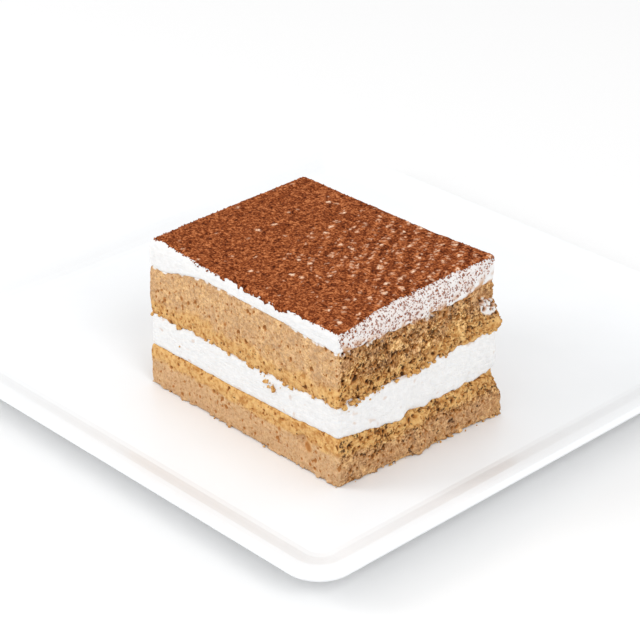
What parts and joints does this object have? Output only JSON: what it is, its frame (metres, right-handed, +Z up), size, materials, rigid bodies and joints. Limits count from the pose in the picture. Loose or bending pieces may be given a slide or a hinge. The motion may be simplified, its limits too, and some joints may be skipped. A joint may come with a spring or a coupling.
{
  "type": "tiramisu portion",
  "caption": "Rectangular layered tiramisu portion with a cocoa-dusted top, set towards one corner of a shallow square white dessert plate.",
  "frame": {"origin": "on the table surface under the centre of the square plate", "axes": "+Z up; X and Y along the plate's edges; the portion's long cut side faces -Y and its torn short side faces +X"},
  "size_m": [0.2, 0.2, 0.0593],
  "materials": {
    "porcelain": "smooth white glaze",
    "sponge": "open tan crumb, darker where soaked",
    "cream": "soft white cream",
    "cocoa": "matt red-brown powder"
  },
  "bodies": {
    "root": {"plate": "porcelain", "sponge_lower": "sponge", "cream_middle": "cream", "sponge_upper": "sponge", "cream_top": "cream", "cocoa": "cocoa"}
  },
  "joints": []
}
